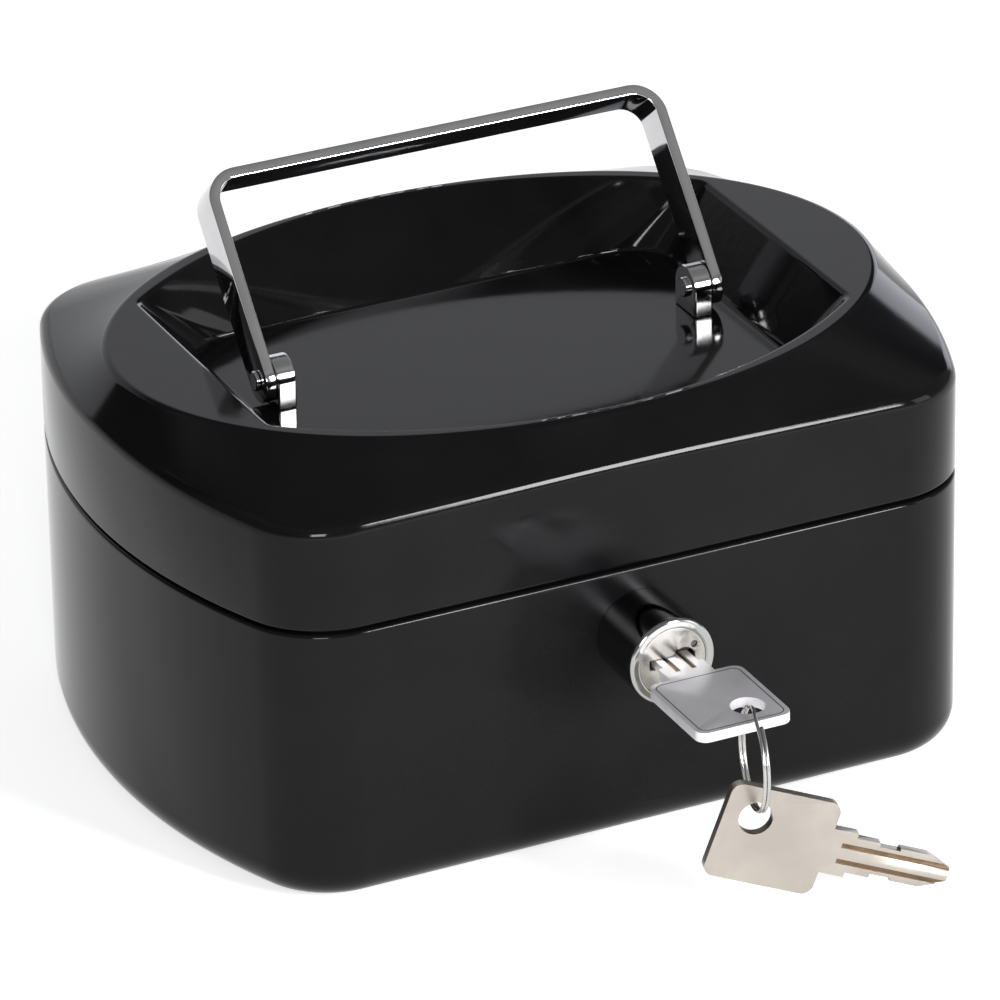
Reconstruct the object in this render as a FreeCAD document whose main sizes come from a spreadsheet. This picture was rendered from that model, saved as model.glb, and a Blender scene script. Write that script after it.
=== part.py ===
import FreeCAD, Part
import math
import os
import re

import Sketcher

# Small steel cash box in millimetres: +Z up, lock at -Y, origin on the floor under the middle of the box.

Vector = FreeCAD.Vector
Rotation = FreeCAD.Rotation
Placement = FreeCAD.Placement

SIZES = {
    # Box outline: straight front and rear, bowed ends, round corners
    "box_length": 152.0,
    "box_depth": 112.0,
    "end_radius": 120.0,
    "corner_radius": 16.6,
    "sheet_thickness": 1.0,
    # Base: drawn shell with a neck that the lid closes over
    "base_height": 51.6,
    "bottom_round": 6.0,
    "seam_round": 1.2,
    "seam_gap": 0.7,
    "neck_height": 7.0,
    "neck_clearance": 0.6,
    # Lid: skirt, sloping shoulder, oval crest and sunk dish
    "skirt_height": 18.9,
    "shoulder_rise": 7.8,
    "shoulder_run": 5.8,
    "shoulder_end_run": 5.5,
    "shoulder_round": 3.0,
    "crest_round": 1.8,
    "rim_width": 1.6,
    "rim_round": 1.6,
    "end_ledge": 15.0,
    # The dish's front and rear bow this much more than the oval beside them
    "dish_bow": 1.356,
    "dish_corner": 4.0,
    "dish_sink": 11.5,
    "wall_run": 18.2,
    "wall_end_run": 9.0,
    "floor_corner": 8.0,
    # Fits: radial room of a turning fit, of a fixed one, and of flat faces that pass each other
    "running_clearance": 0.05,
    "fixed_clearance": 0.05,
    "side_clearance": 0.15,
    # Bail handle, its lugs and pins
    "handle_side_gap": 2.2,
    "handle_reach": 37.3,
    "handle_lean": 41.0,
    "strip_width": 8.0,
    "strip_thickness": 2.0,
    "bend_radius": 4.0,
    "pivot_setback": 2.0,
    "pivot_rise": 4.7,
    "lug_thickness": 3.5,
    "lug_width": 8.0,
    "tenon_diameter": 3.0,
    "washer_diameter": 7.0,
    "washer_thickness": 0.8,
    "peen_diameter": 4.2,
    "peen_height": 0.8,
    "handle_pin_diameter": 2.2,
    "handle_pin_head": 3.6,
    "handle_pin_head_height": 0.7,
    "pin_head_round": 0.35,
    # Rear hinge
    "hinge_length": 70.0,
    "hinge_stand_off": 0.35,
    "knuckle_diameter": 4.4,
    "knuckle_gap": 0.4,
    "leaf_thickness": 0.8,
    "leaf_height": 14.0,
    "hinge_pin_diameter": 2.2,
    "rivet_diameter": 2.4,
    "rivet_head": 4.4,
    "rivet_head_height": 0.9,
    "rivet_spacing": 18.0,
    "rivet_setback": 11.0,
    # Lock, with its height taken from the axis up to the top of the base wall
    "lock_height": 12.3,
    "barrel_diameter": 16.0,
    "barrel_projection": 13.0,
    "barrel_round": 0.7,
    "shank_diameter": 14.0,
    "nut_across": 19.0,
    "nut_thickness": 3.5,
    "plug_head_diameter": 12.5,
    "plug_head_length": 2.0,
    "plug_body_diameter": 10.0,
    "plug_recess": 0.3,
    "plug_play": 0.1,
    "index_diameter": 1.3,
    "index_depth": 0.4,
    "index_across": 4.1,
    "index_up": 2.4,
    "recess_diameter": 4.4,
    "recess_depth": 1.0,
    "recess_across": 2.1,
    "drive_square": 6.0,
    "cam_thickness": 1.5,
    "cam_hub": 11.0,
    "cam_hook_width": 4.0,
    "cam_sweep": 112.0,
    "cam_lead": 75.0,
    "cam_screw_diameter": 3.0,
    "cam_screw_head": 8.0,
    "cam_screw_head_height": 2.0,
    "cam_screw_length": 4.0,
    # Strike under the lid
    "strike_thickness": 1.2,
    "strike_width": 16.0,
    "strike_flange": 7.0,
    "strike_bar": 1.0,
    "strike_sill": 2.0,
    "window_clearance": 1.4,
    "strike_clearance": 0.4,
    # Keys and ring
    "bow_length": 20.0,
    "bow_width": 17.6,
    "bow_corner": 2.0,
    "key_thickness": 1.8,
    "ring_hole": 6.0,
    "ring_hole_inset": 5.8,
    "ring_hole_offset": 3.1,
    "blade_width": 8.4,
    "root_length": 4.5,
    "first_step": 0.9,
    "first_length": 4.4,
    "notch_depth": 0.7,
    "notch_length": 3.8,
    "bump_height": 0.5,
    "bump_length": 5.2,
    "tip_length": 4.6,
    "tip_width": 2.6,
    "groove_width": 0.9,
    "groove_depth": 0.4,
    "groove_spacing": 3.0,
    "key_exposed": 7.5,
    "ring_diameter": 17.6,
    "wire_diameter": 1.3,
    "ring_clearance": 0.3,
    "ring_yaw": 13.5,
    "spare_droop": 20.0,
    # Coin tray
    "tray_plate": 1.5,
    "tray_depth": 27.0,
    "tray_wall": 1.4,
    "tray_lip": 1.2,
    "tray_corner": 5.0,
    "tray_end_margin": 16.0,
    "tray_clearance": 0.6,
    "plate_setback": 0.2,
    "lock_room": 20.0,
    "cup_length": 38.0,
    "cup_round": 3.0,
}

doc = FreeCAD.newDocument("cash_box")
sheet = doc.addObject("Spreadsheet::Sheet", "sizes")
for row, (alias, number) in enumerate(SIZES.items(), start=1):
    sheet.set(f"A{row}", alias)
    sheet.set(f"B{row}", str(number))
    sheet.setAlias(f"B{row}", alias)
doc.recompute()


def expr(text):
    """Turn bare size names into references to the sheet."""
    return re.sub(r"[a-z]\w*", lambda word: "sizes." + word[0] if word[0] in SIZES else word[0], text)


def value(text):
    """Number that a formula of sizes comes to."""
    return float(sheet.evalExpression(expr(text)))


# Formulas of the sizes that more than one piece needs
half_length = "(box_length / 2)"
half_depth = "(box_depth / 2)"
neck_inset = "(sheet_thickness + neck_clearance)"
neck_top = "(base_height + neck_height)"
lid_bottom = "(base_height + seam_gap)"
shoulder_z = f"({lid_bottom} + skirt_height)"
crest_z = f"({shoulder_z} + shoulder_rise)"
floor_z = f"({crest_z} - dish_sink)"
opening_length = f"({half_length} - shoulder_end_run - end_ledge)"
opening_depth = f"({half_depth} - shoulder_run - rim_width)"
crest_length = f"({half_length} - shoulder_end_run)"
crest_depth = f"({half_depth} - shoulder_run)"
dish_sag = f"({crest_depth} * (1 - sqrt(1 - ({opening_length} / {crest_length}) ^ 2)) + dish_bow)"
floor_length = f"({opening_length} - wall_end_run)"
floor_depth = f"({opening_depth} - wall_run)"
pivot_z = f"({floor_z} + pivot_rise)"
handle_half = f"({floor_length} - handle_side_gap)"
lug_outer = f"({handle_half} - strip_thickness - side_clearance)"
lug_middle = f"({lug_outer} - lug_thickness / 2)"
hinge_y = f"({half_depth} + hinge_stand_off + knuckle_diameter / 2)"
hinge_z = "(base_height + seam_gap / 2)"
lock_z = "(base_height - lock_height)"
nut_end = "(sheet_thickness + nut_thickness)"
cam_front = f"({nut_end} + strike_clearance + strike_bar + window_clearance)"
shank_end = f"({cam_front} - strike_clearance)"
cam_rear = f"({cam_front} + cam_thickness)"
hook_inner = "(shank_diameter / 2 + strike_clearance + strike_sill + window_clearance)"
hook_outer = f"({hook_inner} + cam_hook_width)"
blade_length = "(root_length + first_length + notch_length + bump_length + tip_length)"
key_depth = f"({blade_length} - key_exposed)"


def new_body(label):
    """Body whose label names its file."""
    body = doc.addObject("PartDesign::Body", label)
    body.Label = label
    return body


def place(body, x="0", y="0", z="0", rotation=None):
    """Set a body down at a formula-driven point."""
    if rotation is not None:
        body.Placement = Placement(Vector(), rotation)
    for axis, formula in zip("xyz", (x, y, z)):
        body.setExpression(f"Placement.Base.{axis}", expr(formula))


def sketch_on(body, name, role="XY_Plane", lift="0"):
    """Sketch on one of the body's own planes, lifted along its normal."""
    sketch = body.newObject("Sketcher::SketchObject", name)
    plane = next(item for item in body.Origin.OriginFeatures if item.Role == role)
    sketch.AttachmentSupport = [(plane, "")]
    sketch.MapMode = "FlatFace"
    sketch.setExpression("AttachmentOffset.Base.z", expr(lift))
    return sketch


def bind(sketch, kind, *elements, to):
    """Dimension of a sketch that follows a formula."""
    index = sketch.addConstraint(Sketcher.Constraint(kind, *elements, value(to)))
    sketch.setExpression(f"Constraints[{index}]", expr(to))


def pin_point(sketch, edge, end, x, y):
    """Hold one point of a sketch at a formula-driven place."""
    for kind, axis, formula in (("DistanceX", -2, x), ("DistanceY", -1, y)):
        if formula == "0":
            sketch.addConstraint(Sketcher.Constraint("PointOnObject", edge, end, axis))
        else:
            bind(sketch, kind, -1, 1, edge, end, to=formula)


def polygon(sketch, points):
    """Closed outline through formula-driven corners."""
    corners = [Vector(value(x), value(y), 0) for x, y in points]
    following = corners[1:] + corners[:1]
    edges = [sketch.addGeometry(Part.LineSegment(a, b)) for a, b in zip(corners, following)]
    for edge, after, (x, y) in zip(edges, edges[1:] + edges[:1], points):
        sketch.addConstraint(Sketcher.Constraint("Coincident", edge, 2, after, 1))
        pin_point(sketch, edge, 1, x, y)


def rectangle(sketch, left, right, low, high):
    """Closed rectangle between four formulas."""
    polygon(sketch, [(left, low), (right, low), (right, high), (left, high)])


def circle(sketch, diameter, x="0", y="0"):
    """Circle at a formula-driven place."""
    middle = Vector(value(x), value(y), 0)
    edge = sketch.addGeometry(Part.Circle(middle, Vector(0, 0, 1), value(diameter) / 2))
    pin_point(sketch, edge, 3, x, y)
    bind(sketch, "Diameter", edge, to=diameter)


def arc(middle, start, end):
    """Arc that runs anticlockwise round its middle."""
    turns = [math.atan2(point.y - middle.y, point.x - middle.x) for point in (start, end)]
    if turns[1] < turns[0]:
        turns[1] += 2 * math.pi
    ring = Part.Circle(middle, Vector(0, 0, 1), middle.distanceToPoint(start))
    return Part.ArcOfCircle(ring, *turns)


def outline(sketch, length, depth, corner, side=None, end=None):
    """Eight tangent edges: front, right, rear and left, straight or bowed, with round corners between."""
    a, b, r = value(length), value(depth), value(corner)
    side_radius = value(side) if side else None
    end_radius = value(end) if end else None
    if side:
        centre = Vector(a - r, b - side_radius + math.sqrt((side_radius - r) ** 2 - (a - r) ** 2), 0)
        side_middle = Vector(0, b - side_radius, 0)
        side_point = side_middle + (centre - side_middle).normalize() * side_radius
    else:
        x = a - end_radius + math.sqrt((end_radius - r) ** 2 - (b - r) ** 2) if end else a - r
        centre = Vector(x, b - r, 0)
        side_point = Vector(centre.x, b, 0)
    if end:
        end_middle = Vector(a - end_radius, 0, 0)
        end_point = end_middle + (centre - end_middle).normalize() * end_radius
    else:
        end_point = Vector(a, centre.y, 0)

    def turned(point, x_sign, y_sign):
        return Vector(x_sign * point.x, y_sign * point.y, 0)

    edges = []
    for x_sign, y_sign in ((1, -1), (-1, 1)):
        near, far = turned(side_point, -x_sign, y_sign), turned(side_point, x_sign, y_sign)
        low, high = turned(end_point, x_sign, y_sign), turned(end_point, x_sign, -y_sign)
        straight = Part.LineSegment(near, far)
        edges.append(arc(turned(side_middle, 1, y_sign), near, far) if side else straight)
        edges.append(arc(turned(centre, x_sign, y_sign), far, low))
        straight = Part.LineSegment(low, high)
        edges.append(arc(turned(end_middle, x_sign, 1), low, high) if end else straight)
        edges.append(arc(turned(centre, x_sign, -y_sign), high, turned(side_point, x_sign, -y_sign)))
    ids = [sketch.addGeometry(edge) for edge in edges]
    for edge, after in zip(ids, ids[1:] + ids[:1]):
        sketch.addConstraint(Sketcher.Constraint("Tangent", edge, 2, after, 1))
    front, _, right, _, rear, _, left, _ = ids
    bind(sketch, "Radius", ids[1], to=corner)
    for index in ids[3::2]:
        sketch.addConstraint(Sketcher.Constraint("Equal", ids[1], index))
    for edge, formula in ((front, f"-({depth})"), (rear, depth)):
        if side:
            pin_point(sketch, edge, 3, "0", f"{formula} {'+' if edge == front else '-'} {side}")
        else:
            sketch.addConstraint(Sketcher.Constraint("Horizontal", edge))
            bind(sketch, "DistanceY", -1, 1, edge, 1, to=formula)
    for edge, formula in ((right, length), (left, f"-({length})")):
        if end:
            pin_point(sketch, edge, 3, f"{formula} {'-' if edge == right else '+'} {end}", "0")
        else:
            sketch.addConstraint(Sketcher.Constraint("Vertical", edge))
            bind(sketch, "DistanceX", -1, 1, edge, 1, to=formula)
    if side:
        bind(sketch, "Radius", front, to=side)
        sketch.addConstraint(Sketcher.Constraint("Equal", front, rear))
    if end:
        bind(sketch, "Radius", right, to=end)
        sketch.addConstraint(Sketcher.Constraint("Equal", right, left))


def rounded_rectangle(sketch, left, right, low, high, corner):
    """Closed rectangle between four formulas, with round corners."""
    x0, x1, y0, y1, r = (value(size) for size in (left, right, low, high, corner))
    middles = [Vector(x1 - r, y0 + r), Vector(x1 - r, y1 - r), Vector(x0 + r, y1 - r), Vector(x0 + r, y0 + r)]
    outward = [Vector(0, -r), Vector(r, 0), Vector(0, r), Vector(-r, 0)]
    ids = []
    for index, middle in enumerate(middles):
        out, after = outward[index], outward[(index + 1) % 4]
        ids.append(sketch.addGeometry(Part.LineSegment(middles[index - 1] + out, middle + out)))
        ids.append(sketch.addGeometry(arc(middle, middle + out, middle + after)))
    for edge, after in zip(ids, ids[1:] + ids[:1]):
        sketch.addConstraint(Sketcher.Constraint("Tangent", edge, 2, after, 1))
    sides = (("DistanceY", low), ("DistanceX", right), ("DistanceY", high), ("DistanceX", left))
    for edge, (kind, formula) in zip(ids[::2], sides):
        direction = "Horizontal" if kind == "DistanceY" else "Vertical"
        sketch.addConstraint(Sketcher.Constraint(direction, edge))
        bind(sketch, kind, -1, 1, edge, 1, to=formula)
    bind(sketch, "Radius", ids[1], to=corner)
    for edge in ids[3::2]:
        sketch.addConstraint(Sketcher.Constraint("Equal", ids[1], edge))


def box_outline(body, name, lift, inset="0"):
    """The box's own outline, drawn in by an inset."""
    sketch = sketch_on(body, name, lift=lift)
    sizes = [f"({size} - {inset})" for size in (half_length, half_depth, "corner_radius", "end_radius")]
    outline(sketch, sizes[0], sizes[1], sizes[2], end=sizes[3])
    return sketch


def oval(body, name, lift, length, depth):
    """Ellipse about the middle of the box."""
    sketch = sketch_on(body, name, lift=lift)
    edge = sketch.addGeometry(Part.Ellipse(Vector(), value(length), value(depth)))
    sketch.exposeInternalGeometry(edge)
    sketch.addConstraint(Sketcher.Constraint("Coincident", edge, 3, -1, 1))
    sketch.addConstraint(Sketcher.Constraint("Horizontal", edge + 1))
    for axis, kind, reach in ((edge + 1, "DistanceX", length), (edge + 2, "DistanceY", depth)):
        end = sketch.Geometry[axis].StartPoint
        sign = "" if end.x + end.y > 0 else "-"
        bind(sketch, kind, -1, 1, axis, 1, to=f"{sign}({reach})")
    return sketch


def extrude(body, kind, name, sketch, length, both=False, back=False):
    """Pad or pocket of a sketch, along its normal, against it or to both sides."""
    feature = body.newObject(f"PartDesign::{kind}", name)
    feature.Profile = sketch
    feature.setExpression("Length", expr(length))
    feature.SideType = "Symmetric" if both else "One side"
    feature.Reversed = back
    return feature


def loft(body, kind, name, lowest, *others):
    """Ruled solid through two or more outlines."""
    feature = body.newObject(f"PartDesign::{kind}", name)
    feature.Profile = lowest
    feature.Sections = list(others)
    feature.Ruled = True
    return feature


def revolve(body, name, sketch, axis):
    """Full turn of a half profile."""
    feature = body.newObject("PartDesign::Revolution", name)
    feature.Profile = sketch
    feature.ReferenceAxis = (sketch, [axis])
    feature.Angle = 360
    return feature


def round_edges(body, name, radius, wanted):
    """Fillet on the edges whose bounding box passes a test."""
    doc.recompute()
    base = body.Tip
    names = [f"Edge{i}" for i, edge in enumerate(base.Shape.Edges, start=1) if wanted(edge.BoundBox)]
    feature = body.newObject("PartDesign::Fillet", name)
    feature.Base = (base, names)
    feature.setExpression("Radius", expr(radius))
    return feature


def near(a, b):
    """Equal to within the modeller's tolerance."""
    return abs(a - b) < 1e-4


def level(height):
    """Test for edges that lie flat at a height."""
    z = value(height)
    return lambda box: near(box.ZMin, z) and near(box.ZMax, z)


def rivet_row(sketch, z):
    """Four rivet holes in a row."""
    for step in (-1.5, -0.5, 0.5, 1.5):
        circle(sketch, "rivet_diameter + 2 * fixed_clearance", f"{step} * rivet_spacing", z)


def make_base():
    """Drawn lower shell: rounded bottom edge, stepped-in neck, holes for the lock and the hinge rivets."""
    body = new_body("base_shell")
    extrude(body, "Pad", "wall_block", box_outline(body, "wall_outline", "0"), "base_height")
    round_edges(body, "seam_edge", "seam_round", level("base_height"))
    neck = box_outline(body, "neck_outline", "base_height / 2", neck_inset)
    extrude(body, "Pad", "neck_block", neck, "base_height / 2 + neck_height")
    mouth = box_outline(body, "mouth_outline", neck_top, f"({neck_inset} + sheet_thickness)")
    extrude(body, "Pocket", "mouth", mouth, f"{neck_top} - sheet_thickness")
    room = box_outline(body, "room_outline", "base_height - sheet_thickness", "sheet_thickness")
    extrude(body, "Pocket", "room", room, "base_height - 2 * sheet_thickness")
    round_edges(body, "inner_edge", "bottom_round - sheet_thickness", level("sheet_thickness"))
    round_edges(body, "bottom_edge", "bottom_round", level("0"))
    lock_hole = sketch_on(body, "lock_hole_outline", "XZ_Plane")
    circle(lock_hole, "shank_diameter + 2 * fixed_clearance", "0", lock_z)
    extrude(body, "Pocket", "lock_hole", lock_hole, "box_depth", back=True)
    rivets = sketch_on(body, "rivet_holes_outline", "XZ_Plane")
    rivet_row(rivets, f"{hinge_z} - rivet_setback")
    extrude(body, "Pocket", "rivet_holes", rivets, "box_depth")
    return body


def dish_floor(body, name, lift, grow_end="0", grow_side="0", grow_corner="0"):
    """Straight-sided outline of the dish's floor, grown for the pan's outside."""
    sketch = sketch_on(body, name, lift=lift)
    length, depth = f"({floor_length} + {grow_end})", f"({floor_depth} + {grow_side})"
    outline(sketch, length, depth, f"(floor_corner + {grow_corner})")
    return sketch


def dish_opening(body, name, lift, grow_end="0", grow_side="0", grow_corner="0"):
    """Outline of the dish's opening, straight at the ends and bowed at front and rear."""
    sketch = sketch_on(body, name, lift=lift)
    bow = f"(({opening_length} ^ 2 + {dish_sag} ^ 2) / (2 * {dish_sag}) + {grow_side})"
    length, depth = f"({opening_length} + {grow_end})", f"({opening_depth} + {grow_side})"
    outline(sketch, length, depth, f"(dish_corner + {grow_corner})", side=bow)
    return sketch


def make_lid():
    """Pressed lid: skirt, shoulder ruled from the box outline to the oval crest, and the handle dish."""
    body = new_body("lid_shell")
    crest = [crest_length, crest_depth]
    extrude(body, "Pad", "skirt", box_outline(body, "skirt_outline", lid_bottom), "skirt_height")
    shoulder = box_outline(body, "shoulder_outline", shoulder_z)
    loft(body, "AdditiveLoft", "shoulder", shoulder, oval(body, "crest_outline", crest_z, *crest))
    round_edges(body, "crest_edge", "crest_round", level(crest_z))
    round_edges(body, "shoulder_edge", "shoulder_round", level(shoulder_z))
    inner_z = f"({shoulder_z} - sheet_thickness / 2)"
    inner = box_outline(body, "inner_shoulder_outline", inner_z, "sheet_thickness")
    inner_crest = [f"({size} - sheet_thickness / 2)" for size in crest]
    ceiling = oval(body, "inner_crest_outline", f"({crest_z} - sheet_thickness)", *inner_crest)
    loft(body, "SubtractiveLoft", "inner_shoulder", inner, ceiling)
    inside = box_outline(body, "inside_outline", inner_z, "sheet_thickness")
    extrude(body, "Pocket", "inside", inside, f"{inner_z} - {lid_bottom}")
    tilt = "sheet_thickness * (sqrt({0} ^ 2 + dish_sink ^ 2) - {0}) / dish_sink"
    grown = (tilt.format("wall_end_run"), tilt.format("wall_run"), "sheet_thickness")
    pan_floor = dish_floor(body, "pan_floor", f"({floor_z} - sheet_thickness)", *grown)
    pan_opening = dish_opening(body, "pan_opening", f"({crest_z} - sheet_thickness)", *grown)
    loft(body, "AdditiveLoft", "pan", pan_floor, pan_opening)
    floor_outline = dish_floor(body, "floor_outline", floor_z)
    loft(body, "SubtractiveLoft", "dish", floor_outline, dish_opening(body, "opening_outline", crest_z))
    top, length, depth = level(crest_z), value(opening_length), value(opening_depth)

    def on_rim(box):
        ends = near(box.XMax, length) or near(box.XMin, -length)
        return top(box) and (ends or near(box.YMax, depth) or near(box.YMin, -depth))

    round_edges(body, "rim_edge", "rim_round", on_rim)
    tenons = sketch_on(body, "tenon_holes_outline", lift=floor_z)
    for sign in ("", "-"):
        circle(tenons, "tenon_diameter + 2 * fixed_clearance", f"{sign}{lug_middle}", "pivot_setback")
    extrude(body, "Pocket", "tenon_holes", tenons, "2 * sheet_thickness")
    rivets = sketch_on(body, "rivet_holes_outline", "XZ_Plane")
    rivet_row(rivets, f"{hinge_z} + rivet_setback")
    extrude(body, "Pocket", "rivet_holes", rivets, "box_depth")
    return body


def make_handle():
    """Flat strip bent into a bail, leg ends rounded about the pivot, drawn upright and then leaned back."""
    body = new_body("handle_bail")
    strip = sketch_on(body, "strip_outline", "XZ_Plane")
    inner, top, under = f"({handle_half} - strip_thickness)", "handle_reach", "handle_reach - strip_thickness"
    right = [(handle_half, "0"), (inner, "0"), (inner, under)]
    left = [(f"-{x}", y) for x, y in reversed(right)]
    polygon(strip, right + left + [(f"-{handle_half}", top), (handle_half, top)])
    extrude(body, "Pad", "strip", strip, "strip_width", both=True)
    width = value("strip_width")

    def bend_at(height):
        z = value(height)
        return lambda box: near(box.ZMin, z) and near(box.ZMax, z) and near(box.YLength, width)

    round_edges(body, "outer_bends", "bend_radius + strip_thickness", bend_at(top))
    round_edges(body, "inner_bends", "bend_radius", bend_at(under))
    for name, face in (("left", f"-{handle_half}"), ("right", inner)):
        end = sketch_on(body, f"{name}_end_outline", "YZ_Plane", lift=face)
        circle(end, "strip_width")
        extrude(body, "Pad", f"{name}_end", end, "strip_thickness")
    hole = sketch_on(body, "pin_holes_outline", "YZ_Plane")
    circle(hole, "handle_pin_diameter + 2 * running_clearance")
    extrude(body, "Pocket", "pin_holes", hole, f"4 * {handle_half}", both=True)
    place(body, y="pivot_setback", z=pivot_z, rotation=Rotation(Vector(1, 0, 0), -value("handle_lean")))
    return body


def make_lug(label, sign):
    """Tombstone lug on the dish floor with a tenon peened under the lid."""
    body = new_body(label)
    block = sketch_on(body, "block_outline", "YZ_Plane")
    rectangle(block, "-lug_width / 2", "lug_width / 2", "0", "pivot_rise")
    extrude(body, "Pad", "block", block, "lug_thickness", both=True)
    crown = sketch_on(body, "round_top_outline", "YZ_Plane")
    circle(crown, "lug_width", "0", "pivot_rise")
    extrude(body, "Pad", "round_top", crown, "lug_thickness", both=True)
    hole = sketch_on(body, "pin_hole_outline", "YZ_Plane")
    circle(hole, "handle_pin_diameter + 2 * fixed_clearance", "0", "pivot_rise")
    extrude(body, "Pocket", "pin_hole", hole, "2 * lug_thickness", both=True)
    tenon = sketch_on(body, "tenon_outline")
    circle(tenon, "tenon_diameter")
    extrude(body, "Pad", "tenon", tenon, "sheet_thickness + washer_thickness", back=True)
    peen = sketch_on(body, "peen_outline", lift="-(sheet_thickness + washer_thickness)")
    circle(peen, "peen_diameter")
    extrude(body, "Pad", "peen", peen, "peen_height", back=True)
    place(body, f"{sign}{lug_middle}", "pivot_setback", floor_z)
    return body


def make_handle_pin(label, turn):
    """Headed pin through the leg and the lug, with its head on the outside."""
    body = new_body(label)
    lug_inner = f"({lug_outer} - lug_thickness)"
    head = f"({handle_half} + side_clearance)"
    profile = sketch_on(body, "pin_profile")
    polygon(profile, [
        (f"{lug_inner} - handle_pin_head_height", "0"),
        (f"{head} + handle_pin_head_height", "0"),
        (f"{head} + handle_pin_head_height", "handle_pin_head / 2"),
        (head, "handle_pin_head / 2"),
        (head, "handle_pin_diameter / 2"),
        (lug_inner, "handle_pin_diameter / 2"),
        (lug_inner, "handle_pin_head / 2"),
        (f"{lug_inner} - handle_pin_head_height", "handle_pin_head / 2"),
    ])
    revolve(body, "pin", profile, "H_Axis")
    ends = [value(f"{lug_inner} - handle_pin_head_height"), value(f"{head} + handle_pin_head_height")]
    round_edges(body, "head_edges", "pin_head_round",
                lambda box: any(near(box.XMin, x) and near(box.XMax, x) for x in ends))
    place(body, y="pivot_setback", z=pivot_z, rotation=Rotation(Vector(0, 0, 1), turn))
    return body


def make_washers():
    """Washers under the dish floor, one on each lug tenon."""
    body = new_body("lug_washers")
    body.AllowCompound = True
    rings = sketch_on(body, "washer_outline", lift=f"{floor_z} - sheet_thickness - washer_thickness")
    for sign in ("", "-"):
        for diameter in ("washer_diameter", "tenon_diameter + 2 * fixed_clearance"):
            circle(rings, diameter, f"{sign}{lug_middle}", "pivot_setback")
    extrude(body, "Pad", "washers", rings, "washer_thickness")
    return body


KNUCKLES = 5


def knuckle_start(index):
    """Left end of one knuckle."""
    return f"({index} * (hinge_length + knuckle_gap) / {KNUCKLES} - hinge_length / 2)"


knuckle_length = f"((hinge_length + knuckle_gap) / {KNUCKLES} - knuckle_gap)"


def make_leaf(label, own, turn):
    """Hinge leaf on the outside of the rear wall, rolled into every second knuckle."""
    body = new_body(label)
    plate = sketch_on(body, "plate_outline", "XZ_Plane", lift="hinge_stand_off + knuckle_diameter / 2")
    edge, clear = "hinge_length / 2", "-(knuckle_diameter / 2 + knuckle_gap)"
    points = [(f"-{edge}", "-leaf_height"), (edge, "-leaf_height")]
    for index in reversed(range(KNUCKLES)):
        start = knuckle_start(index)
        end = f"({start} + {knuckle_length})"
        if index in own:
            points += [(end, "0"), (start, "0")]
        else:
            right = edge if index == KNUCKLES - 1 else f"{end} + knuckle_gap"
            left = f"-{edge}" if index == 0 else f"{start} - knuckle_gap"
            points += [(right, clear), (left, clear)]
    polygon(plate, points)
    rivet_row(plate, "-rivet_setback")
    extrude(body, "Pad", "plate", plate, "leaf_thickness", back=True)
    for index in own:
        roll = sketch_on(body, f"knuckle_{index}_outline", "YZ_Plane", lift=knuckle_start(index))
        circle(roll, "knuckle_diameter")
        extrude(body, "Pad", f"knuckle_{index}", roll, knuckle_length)
    bore = sketch_on(body, "bore_outline", "YZ_Plane")
    circle(bore, "hinge_pin_diameter + 2 * running_clearance")
    extrude(body, "Pocket", "bore", bore, "2 * hinge_length", both=True)
    place(body, y=hinge_y, z=hinge_z, rotation=Rotation(Vector(0, 1, 0), turn))
    return body


def make_hinge_pin():
    """Plain pin through all the knuckles."""
    pin = doc.addObject("Part::Cylinder", "hinge_pin")
    pin.setExpression("Radius", expr("hinge_pin_diameter / 2"))
    pin.setExpression("Height", expr("hinge_length"))
    place(pin, "-hinge_length / 2", hinge_y, hinge_z, Rotation(Vector(0, 1, 0), 90))
    return pin


def make_rivets(label, z):
    """Row of four rivets that clamp a hinge leaf to its shell."""
    body = new_body(label)
    body.AllowCompound = True
    profile = sketch_on(body, "rivet_profile")
    tail = "-(sheet_thickness + rivet_head_height)"
    crown = "(leaf_thickness + rivet_head_height)"
    polygon(profile, [
        ("0", tail),
        ("rivet_head / 2", tail),
        ("rivet_head / 2", "-sheet_thickness"),
        ("rivet_diameter / 2", "-sheet_thickness"),
        ("rivet_diameter / 2", "leaf_thickness"),
        ("rivet_head / 2", "leaf_thickness"),
        ("rivet_head / 3", crown),
        ("0", crown),
    ])
    first = revolve(body, "rivet", profile, "V_Axis")
    doc.recompute()
    row = body.newObject("PartDesign::LinearPattern", "rivet_row")
    row.Originals = [first]
    row.Direction = (profile, ["H_Axis"])
    row.setExpression("Length", expr("3 * rivet_spacing"))
    row.Occurrences = 4
    body.Tip = row
    place(body, "-1.5 * rivet_spacing", half_depth, z)
    return body


def make_housing():
    """Lock barrel that stands out of the front wall, with a shank through it for the nut."""
    body = new_body("lock_housing")
    front, step = "-barrel_projection", "plug_head_length - barrel_projection"
    head = "plug_head_diameter / 2 + running_clearance"
    bore = "plug_body_diameter / 2 + running_clearance"
    profile = sketch_on(body, "barrel_profile")
    polygon(profile, [
        (head, front),
        ("barrel_diameter / 2", front),
        ("barrel_diameter / 2", "0"),
        ("shank_diameter / 2", "0"),
        ("shank_diameter / 2", shank_end),
        (bore, shank_end),
        (bore, step),
        (head, step),
    ])
    revolve(body, "barrel", profile, "V_Axis")
    round_edges(body, "front_edge", "barrel_round",
                lambda box: near(box.YMin, value(front)) and near(box.XMax, value("barrel_diameter / 2")))
    place(body, y=f"-{half_depth}", z=lock_z)
    return body


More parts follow.
